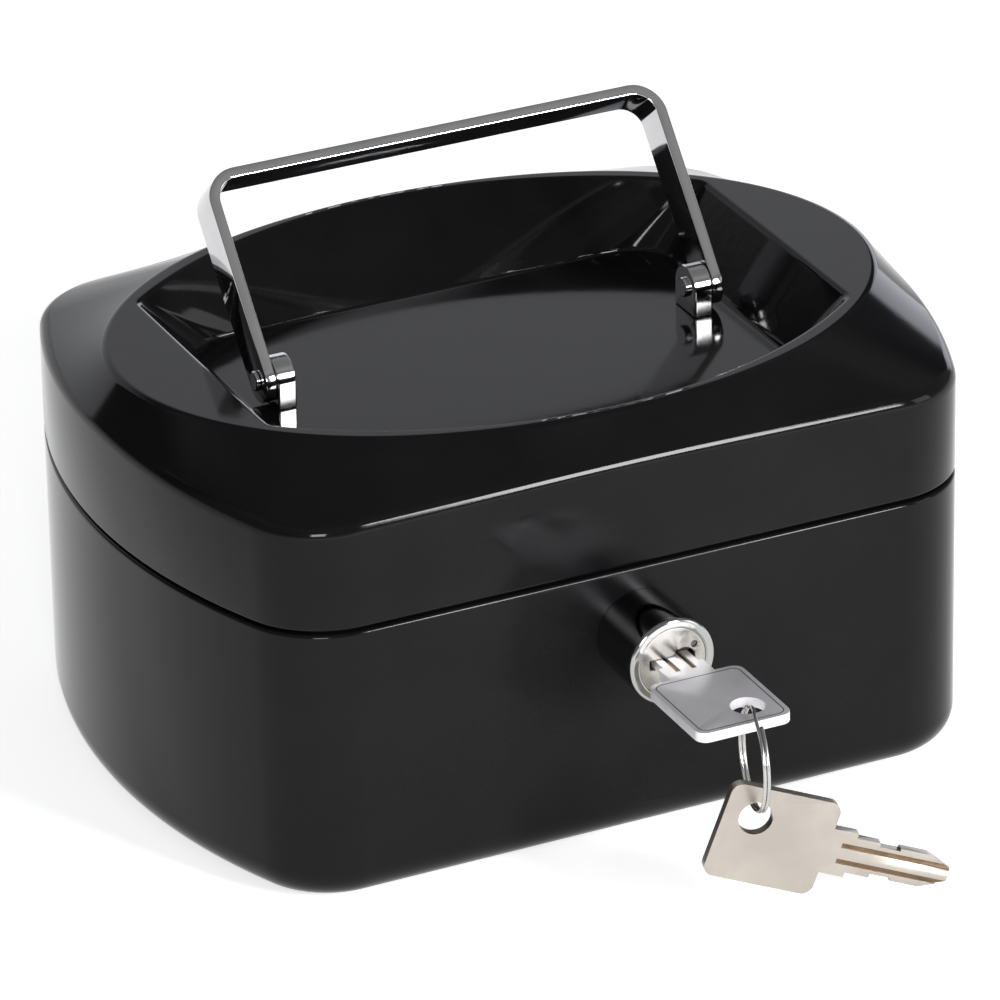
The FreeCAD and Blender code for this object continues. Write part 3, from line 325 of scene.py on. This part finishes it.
def strip_rows():
    """Rounded rectangle of the strip, carried along the bail's middle line.

    The line climbs one leg, turns through a quarter circle of 5 mm, crosses and comes down again. Below the pin
    the strip's width is that of a disc about it, 2 sqrt(4^2 - z^2). The whole leans back 41 degrees.
    """
    span, reach, bend, half_width, half_thick, edge = 43.3, 36.3, 5.0, 4.0, 1.0, 0.3
    end = -half_width * np.cos(np.linspace(0, pi / 2, 16))
    leg = np.concatenate([end, np.linspace(0.4, reach - bend - 0.3, 12)])
    turn = np.radians(np.linspace(180, 90, 19))
    bar = np.linspace(bend - span + 0.3, 0, 10)
    path_x = np.concatenate([np.full_like(leg, -span), bend - span + bend * np.cos(turn), bar])
    path_z = np.concatenate([leg, reach - bend + bend * np.sin(turn), np.full_like(bar, reach)])
    facing = np.concatenate([np.full_like(leg, pi), turn, np.full_like(bar, pi / 2)])
    width = np.concatenate([np.sqrt(np.maximum(half_width ** 2 - np.minimum(leg, 0) ** 2, 1e-6)),
                            np.full(len(turn) + len(bar), half_width)])
    path_x = np.concatenate([path_x, -path_x[-2::-1]])
    path_z, width = (np.concatenate([run, run[-2::-1]]) for run in (path_z, width))
    facing = np.concatenate([facing, pi - facing[-2::-1]])
    corner = np.repeat(np.radians((45, 135, 225, 315)), 7)
    spin = corner + np.tile(np.radians(np.linspace(-45, 45, 7)), 4)
    round_one = np.minimum(edge, width)[:, None]
    out = np.sign(np.cos(corner)) * (half_thick - round_one) + round_one * np.cos(spin)
    side = np.sign(np.sin(corner)) * (width[:, None] - round_one) + round_one * np.sin(spin)
    x = path_x[:, None] + out * np.cos(facing)[:, None]
    z = path_z[:, None] + out * np.sin(facing)[:, None]
    lean = radians(41)
    back = pivot_y + side * cos(lean) + z * sin(lean)
    up = pivot_z - side * sin(lean) + z * cos(lean)
    rows = np.stack([x, back, up], -1)
    tips = np.broadcast_to(rows[[0, -1]].mean(1, keepdims=True), (2, *rows.shape[1:]))
    return np.concatenate([tips[:1], rows, tips[1:]])


skin("bail_handle", strip_rows(), chrome, "handle", "handle_chrome", "handle_bail")

# Handle lugs and pins: two tombstone blocks stand on the dish floor, each with a headed pin through it and the
# handle's leg. The blocks are riveted through the floor. All are chromed.


def lug_rows(middle):
    """Tombstone outline, drawn in along its normal at both faces, with poles in the middle of the faces."""
    edge, crown, half_thick, floor_z = 0.3, 4.0, 1.75, 67.5
    counts = (6, 48, 6)
    starts, ends = (-90, 0, 180), (0, 180, 270)
    turn = np.radians(np.concatenate([np.linspace(*run, endpoint=False) for run in zip(starts, ends, counts)]))
    radius = np.repeat((edge, crown, edge), counts)
    centre_y = np.repeat((crown - edge, 0, edge - crown), counts)
    centre_z = np.repeat((edge, pivot_z - floor_z, edge), counts)
    normal = np.stack([np.cos(turn), np.sin(turn)], -1)
    line = np.stack([centre_y, centre_z], -1) + radius[:, None] * normal
    corners = np.array([(1, -half_thick), (0, -half_thick), (0, half_thick), (1, half_thick)])[:, None, :]
    rows = section(corners, [edge, edge], steps=6, support=0.1)[:, 0]
    rings = line[None] - np.minimum(rows[:, :1, None], radius[:, None] * 0.95) * normal[None]
    block = np.concatenate([np.broadcast_to(rows[:, 1:, None], (*rings.shape[:2], 1)), rings], -1)
    poles = block[[0, -1]] * (1, 0, 0) + (0, 0, 4.2)
    return np.concatenate([poles[:1], block, poles[1:]]) + (middle, pivot_y, floor_z)


def turned(profile, radii, steps=6, around=64):
    """Rings of a lathe profile of (distance along the axis, radius), with its corners rounded. Along X."""
    rows = section(np.array(profile, float)[:, None, :], radii, steps, 0.1)[:, 0]
    angles = np.linspace(0, 2 * pi, around, endpoint=False)
    ring = np.stack([np.cos(angles), np.sin(angles)], -1)
    along = np.broadcast_to(rows[:, :1, None], (len(rows), around, 1))
    return np.concatenate([along, rows[:, 1:, None] * ring], -1)


pin_profile = [
    (37.95, 0), (37.95, 1.8), (38.65, 1.8), (38.65, 1.1),
    (44.45, 1.1), (44.45, 1.8), (45.15, 1.8), (45.15, 0),
]
pin_rows = turned(pin_profile, [0.35, 0.1, 0.1, 0.1, 0.1, 0.35])
for side, sign in (("left", -1), ("right", 1)):
    skin(f"lug_{side}", lug_rows(sign * 40.4), chrome, "lid", "handle_chrome", f"handle_lug_{side}")
    pin = pin_rows * (sign, 1, 1) + (0, pivot_y, pivot_z)
    skin(f"pin_{side}", pin, chrome, "lid", "handle_chrome", f"handle_pin_{side}")

# Lock barrel: turned brass, its rounded rim chromed bright and its side painted a darker colour that stands in for
# the black wall mirrored in it. Its shank goes through the front wall.

barrel_chrome, barrel_shader = new_material("barrel_chrome", (0.66, 0.66, 0.67), 1, 0.06)
worn(barrel_chrome, barrel_shader, (0.06, 0.13), 0.01, patch_scale=160, ripple_scale=900)


def lock_depth_group():
    """Mask that rises from 0 to 1 between two depths along the lock's axis."""
    tree, given, out = group_tree("lock_depth", {"Start": -0.0682, "End": -0.0676}, ("Mask",))
    place = node(tree, "ShaderNodeTexCoord").outputs["Object"]
    depth = node(tree, "ShaderNodeSeparateXYZ", {"Vector": place}).outputs["Y"]
    rise = node(tree, "ShaderNodeMapRange", {"Value": depth, "From Min": given["Start"], "From Max": given["End"]})
    tree.links.new(rise.outputs["Result"], out["Mask"])
    return tree


lock_depth = lock_depth_group()


def along_lock(tree, start, end):
    """Place the depth mask in a material with its own two depths."""
    return node(tree, "ShaderNodeGroup", node_tree=lock_depth, Start=start, End=end).outputs["Mask"]


# Painted reflection: behind the rim the barrel's colour is darkened to paint the black wall that its side mirrors.
barrel_side_painted_dark = along_lock(barrel_chrome.node_tree, -0.0682, -0.0676)
tinted(barrel_chrome, barrel_shader, barrel_side_painted_dark, (0.40, 0.41, 0.40), (0.2, 0.2, 0.21))


def lock_turned(profile, radii):
    """The same lathe profile along the lock's axis, with distances from the front wall's outer face inwards."""
    along, *across = np.moveaxis(turned(profile, radii, 8, 96), -1, 0)
    return np.stack([across[0], along, across[1]], -1) + lock_place


barrel_line = [
    (-11, 6.3), (-13, 6.3), (-13, 8), (0, 8), (0, 7),
    (6.9, 7), (6.9, 5.05), (-11, 5.05), (-11, 6.3),
]
barrel_rows = lock_turned(barrel_line, [0.3, 0.7, 0.1, 0.1, 0.3, 0.1, 0.1])
skin("lock_barrel", barrel_rows, barrel_chrome, "base", "lock_chrome", "lock_housing")

# Lock plug: the core that the key turns, brass with a satin nickel face, cut by the keyway and a round recess.
# The cuts go through the plate to brass, painted dark brown as the shade inside them. A dimple beside the keyway marks
# its place.

nickel, nickel_shader = new_material("plug_nickel", (0.68, 0.67, 0.65), 1, 0.3)
worn(nickel, nickel_shader, (0.2, 0.3), 0.06, patch_scale=220, ripple_scale=2600)
# Painted shade: faces deeper than the plug's face take a dark brown that stands for the shade in the keyway and
# recess.
keyway_brass_and_shade = along_lock(nickel.node_tree, -0.06862, -0.0682)
tinted(nickel, nickel_shader, keyway_brass_and_shade, (0.46, 0.45, 0.42), (0.07, 0.045, 0.03))


def copied(name, source, material, body, edge=0.12):
    """Merged copy of a CAD node whose edges are broken by a bevel and whose round faces are shaded smooth."""
    corner = radians(35)
    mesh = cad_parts[source].data.copy()
    mesh.materials.clear()
    piece = dress(name, mesh, material, body, (source,))
    mesh.set_sharp_from_angle(angle=corner)
    bevel = piece.modifiers.new("broken_edges", "BEVEL")
    bevel.width = edge / 1000
    bevel.segments = 2
    bevel.limit_method = "ANGLE"
    bevel.angle_limit = corner
    bevel.harden_normals = True
    return piece


copied("lock_core", "lock_plug", nickel, "plug", 0.2)

# Lock works behind the wall: hexagon nut, latch cam with its screw, and the strike bracket welded into the lid.
# Plain steel parts, zinc plated, as are the washers under the dish and the wire of the hinge.

zinc, zinc_shader = new_material("zinc_plate", (0.55, 0.56, 0.58), 1, 0.35)
zinc_wear = worn(zinc, zinc_shader, (0.26, 0.46), 0.12, patch_scale=130, ripple_scale=1500)
tinted(zinc, zinc_shader, zinc_wear, (0.48, 0.50, 0.53), (0.62, 0.62, 0.62))
for name, source, body in (
    ("barrel_nut", "lock_nut", "base"),
    ("latch_cam", "lock_cam", "plug"),
    ("latch_screw", "cam_screw", "plug"),
    ("strike_bracket", "lid_strike", "lid"),
    ("tenon_washers", "lug_washers", "lid"),
    ("hinge_wire", "hinge_pin", "base"),
):
    copied(name, source, zinc, body, 0.15)

# Rear hinge: two leaves of sheet rolled round the hinge wire, each held to its shell by four rivets.
# Leaves and rivets are lacquered with the box.

for name, source, body in (
    ("lower_leaf", "hinge_leaf_base", "base"),
    ("upper_leaf", "hinge_leaf_lid", "lid"),
    ("lower_rivets", "hinge_rivets_base", "base"),
    ("upper_rivets", "hinge_rivets_lid", "lid"),
):
    copied(name, source, lacquer, body, 0.2)

# Keys and ring: two keys stamped from nickelled brass, one in the lock and its twin on a split ring of
# bright steel wire.

key_nickel, key_shader = new_material("key_nickel", (0.60, 0.58, 0.55), 1, 0.4)
key_wear = worn(key_nickel, key_shader, (0.36, 0.48), 0.08, patch_scale=110, ripple_scale=2200)
tinted(key_nickel, key_shader, key_wear, (0.44, 0.40, 0.36), (0.51, 0.47, 0.42))
# Painted shade: the groove floors get a dark brown that stands in for the shade lying in the grooves.
groove_brass_and_shade, groove_shader = new_material("groove_brass_and_shade", (0.2, 0.14, 0.09), 1, 0.5)
groove_wear = worn(groove_brass_and_shade, groove_shader, (0.4, 0.6), 0.1, patch_scale=400, ripple_scale=2600)
tinted(groove_brass_and_shade, groove_shader, groove_wear, (0.15, 0.10, 0.06), (0.24, 0.17, 0.11))


def grooved(piece):
    """Give the floors of a key's milled grooves a dark brass brown that paints the shade in them: faces that look like
    the key's flat sides but lie deeper than 0.1 mm below them."""
    mesh = piece.data
    middle, facing = (np.empty((len(mesh.polygons), 3)) for _ in range(2))
    area = np.empty(len(mesh.polygons))
    mesh.polygons.foreach_get("center", middle.reshape(-1))
    mesh.polygons.foreach_get("normal", facing.reshape(-1))
    mesh.polygons.foreach_get("area", area)
    flat = facing[area.argmax()]
    height = middle @ flat
    sides = np.abs(facing @ flat) > 0.95
    low, high = height[sides].min(), height[sides].max()
    floors = sides & (np.minimum(height - low, high - height) > 0.0001)
    mesh.materials.append(groove_brass_and_shade)
    mesh.polygons.foreach_set("material_index", floors.astype(np.int32))


grooved(copied("second_key", "spare_key", key_nickel, "spare", 0.25))

# Painted light: the key in the lock is coloured much lighter than its twin, standing in for light falling on it.
lock_key_lit_nickel, bow_shader = new_material("lock_key_nickel_painted_light", (0.64, 0.64, 0.68), 1, 0.5)
worn(lock_key_lit_nickel, bow_shader, (0.56, 0.68), 0.08, patch_scale=110, ripple_scale=2200)


def coined_line_shade(tree, middle_y, half_x, half_y, corner, width):
    """Mask of the painted shade along the line coined round the key's bow: how near a point is to a rounded rectangle.

    The distance is |max(|p| - h, 0)| - c, for a point p from the bow's middle, half sizes h and corner c.
    """
    place = node(tree, "ShaderNodeTexCoord").outputs["Object"]
    moved = node(tree, "ShaderNodeVectorMath", {0: place}, operation="SUBTRACT")
    moved.inputs[1].default_value = (0, middle_y, 0)
    flat = node(tree, "ShaderNodeVectorMath", {0: moved.outputs[0]}, operation="MULTIPLY")
    flat.inputs[1].default_value = (1, 1, 0)
    size = node(tree, "ShaderNodeVectorMath", {0: flat.outputs[0]}, operation="ABSOLUTE")
    over = node(tree, "ShaderNodeVectorMath", {0: size.outputs[0]}, operation="SUBTRACT")
    over.inputs[1].default_value = (half_x, half_y, 0)
    beyond = node(tree, "ShaderNodeVectorMath", {0: over.outputs[0]}, operation="MAXIMUM")
    reach = node(tree, "ShaderNodeVectorMath", {0: beyond.outputs[0]}, operation="LENGTH")
    line = node(tree, "ShaderNodeMath", {0: reach.outputs["Value"]}, operation="COMPARE")
    line.inputs[1].default_value = corner
    line.inputs[2].default_value = width
    return line.outputs[0]


# Painted shade: a dark line stands for the shade in the groove coined round the bow.
painted_border_shade = coined_line_shade(lock_key_lit_nickel.node_tree, -0.0862, 0.0064, 0.0076, 0.0015, 0.00012)
tinted(lock_key_lit_nickel, bow_shader, painted_border_shade, (0.88, 0.87, 0.90), (0.2, 0.2, 0.22))
grooved(copied("lock_key", "key", lock_key_lit_nickel, "key_in_lock", 0.25))

ring_steel, ring_shader = new_material("ring_steel", (0.60, 0.60, 0.61), 1, 0.12)
ring_wear = worn(ring_steel, ring_shader, (0.18, 0.3), 0.01, patch_scale=300, ripple_scale=900)
tinted(ring_steel, ring_shader, ring_wear, (0.46, 0.45, 0.44), (0.54, 0.53, 0.52))


def ring_rows():
    """Two turns of round wire side by side, from one turn to the other across the gap between the wire's ends.

    The wire's middle is C + 8.8 (z cos t - f sin t) + a s, where f points forward from the lock, a is the ring's
    axis and s goes from one side to the other while t passes a full turn. The ends lie in the key's hole.
    """
    middle = np.array((2.0536, -94.7586, 32.35))
    radius, wire, gap, yaw = 8.8, 0.32, 0.45, radians(13.5)
    turn = np.linspace(gap, 4 * pi - gap, 240)[:, None, None]
    pass_over = np.clip((turn - 2 * pi + gap) / (2 * gap), 0, 1)
    side = wire * (2 * pass_over ** 2 * (3 - 2 * pass_over) - 1)
    forward = np.array((-sin(yaw), -cos(yaw), 0))
    axis = np.array((cos(yaw), -sin(yaw), 0))
    outward = np.array((0, 0, 1)) * np.cos(turn) - forward * np.sin(turn)
    spin = np.linspace(0, 2 * pi, 20, endpoint=False)[:, None]
    rows = middle + radius * outward + axis * side + wire * (outward * np.cos(spin) + axis * np.sin(spin))
    tips = np.broadcast_to(rows[[0, -1]].mean(1, keepdims=True), (2, *rows.shape[1:]))
    return np.concatenate([tips[:1], rows, tips[1:]])


skin("split_ring", ring_rows(), ring_steel, "ring", "ring_steel", "key_ring")

# Coin tray: black plastic, moulded in one piece with four coin cups and a trough.
# Its grain is matt, and it lifts out of the base.

plastic, plastic_shader = new_material("tray_plastic", (0.05, 0.05, 0.055), 0, 0.5)
plastic_wear = worn(plastic, plastic_shader, (0.42, 0.6), 0.3, patch_scale=60, ripple_scale=3000)
tinted(plastic, plastic_shader, plastic_wear, (0.045, 0.045, 0.05), (0.06, 0.06, 0.065))
copied("coin_cups", "coin_tray", plastic, "base", 0.3)

# Floor, light and camera: a white sweep, a studio that is bright low down and behind, and dark overhead and at
# the back's left and right above a bright strip, and a long lens from the front left.

floor_mesh = bpy.data.meshes.new("sweep")
reach = 6
floor_corners = [(-reach, -reach, 0), (reach, -reach, 0), (reach, reach, 0), (-reach, reach, 0)]
floor_mesh.from_pydata(floor_corners, [], [(0, 1, 2, 3)])
floor_paint, floor_shader = new_material("sweep_paper", (0.93, 0.93, 0.93), 0, 0.9, Specular_IOR_Level=0.0)
floor_tree = floor_paint.node_tree
path = node(floor_tree, "ShaderNodeLightPath").outputs
seen = node(floor_tree, "ShaderNodeMath", {0: path["Is Camera Ray"], 1: path["Is Glossy Ray"]}, operation="MAXIMUM")
seen = node(floor_tree, "ShaderNodeMath", {0: seen.outputs[0], 1: path["Is Transmission Ray"]}, operation="MAXIMUM")
glow = node(floor_tree, "ShaderNodeMapRange", {"Value": seen.outputs[0]}, To_Min=0.0, To_Max=0.6)
floor_tree.links.new(glow.outputs["Result"], floor_shader.inputs["Emission Strength"])
floor_shader.inputs["Emission Color"].default_value = (1, 1, 1, 1)
floor_mesh.materials.append(floor_paint)
sweep = bpy.data.objects.new("sweep", floor_mesh)
bpy.context.collection.objects.link(sweep)

scene = bpy.context.scene
scene.world = bpy.data.worlds.new("studio")
scene.world.use_nodes = True
sky = scene.world.node_tree
toward = node(sky, "ShaderNodeSeparateXYZ", {"Vector": node(sky, "ShaderNodeTexCoord").outputs["Generated"]})
across, depth, up = (toward.outputs[axis] for axis in "XYZ")


def height_ramp(stops, tint):
    """Tinted grey that follows the height of the direction looked in."""
    ramp = node(sky, "ShaderNodeValToRGB", {"Fac": up})
    for spot, _ in stops[1:-1]:
        ramp.color_ramp.elements.new(spot)
    for element, (spot, grey) in zip(ramp.color_ramp.elements, stops):
        element.position = spot
        element.color = (*(grey * part for part in tint), 1)
    return ramp.outputs["Color"]


def beyond(direction, start, end, first, second):
    """First colour, and past start to end of a direction's component the second one."""
    mask = node(sky, "ShaderNodeMapRange", {"Value": direction}, From_Min=start, From_Max=end).outputs["Result"]
    return node(sky, "ShaderNodeMix", {0: mask, 6: first, 7: second}, data_type="RGBA").outputs[2]


front_stops = [(0.0, 1.0), (0.05, 0.9), (0.13, 0.22), (0.6, 0.22), (0.74, 0.36), (0.9, 0.22)]
back_stops = [(0.0, 1.05), (0.3, 1.05), (0.55, 0.9), (0.68, 0.12), (0.95, 0.22)]
left_stops = [(0.0, 0.6), (0.1, 0.5), (0.16, 0.06), (0.95, 0.06)]
right_stops = [(0.0, 2.6), (0.27, 2.6), (0.31, 0.06), (0.95, 0.06)]
back_sky = height_ramp(back_stops, (0.97, 0.98, 1.02))
back_sky = beyond(across, -0.505, -0.475, height_ramp(left_stops, (1, 1, 1)), back_sky)
back_sky = beyond(across, 0.47, 0.53, back_sky, height_ramp(right_stops, (0.95, 0.97, 1.06)))
whole_sky = beyond(depth, 0.46, 0.54, height_ramp(front_stops, (1, 1, 1)), back_sky)
sky.links.new(whole_sky, sky.nodes["Background"].inputs["Color"])

for name, place, width, height, brightness in (
    ("low_lamp", (0.52, -1.15, 0.52), 0.2, 0.44, 46.0),
    ("lens_lamp", (-0.58, -1.1, 0.46), 0.34, 0.28, 24.0),
    ("right_lamp", (0.95, -0.75, 0.38), 0.45, 0.45, 3.0),
):
    lamp = bpy.data.lights.new(name, "AREA")
    lamp.shape = "RECTANGLE"
    lamp.size = width
    lamp.size_y = height
    lamp.energy = pi * width * height * brightness
    holder = bpy.data.objects.new(name, lamp)
    spot = np.array(place)
    back = spot / np.linalg.norm(spot)
    right = np.cross((0, 0, 1), back)
    right /= np.linalg.norm(right)
    turn = Matrix(np.stack([right, np.cross(back, right), back], -1).tolist()).to_4x4()
    turn.translation = place
    holder.matrix_world = turn
    bpy.context.collection.objects.link(holder)

camera = bpy.data.cameras.new("lens")
camera.sensor_width = 36
camera.lens = 278.54
camera.clip_end = 20
viewer = bpy.data.objects.new("lens", camera)
stand = Matrix(((0.90053, 0.20616, -0.38282), (-0.43444, 0.39064, -0.81158), (-0.01778, 0.89716, 0.44134))).to_4x4()
stand.translation = (-0.52274, -1.10966, 0.64316)
viewer.matrix_world = stand
bpy.context.collection.objects.link(viewer)
scene.camera = viewer
scene.view_settings.view_transform = "Standard"
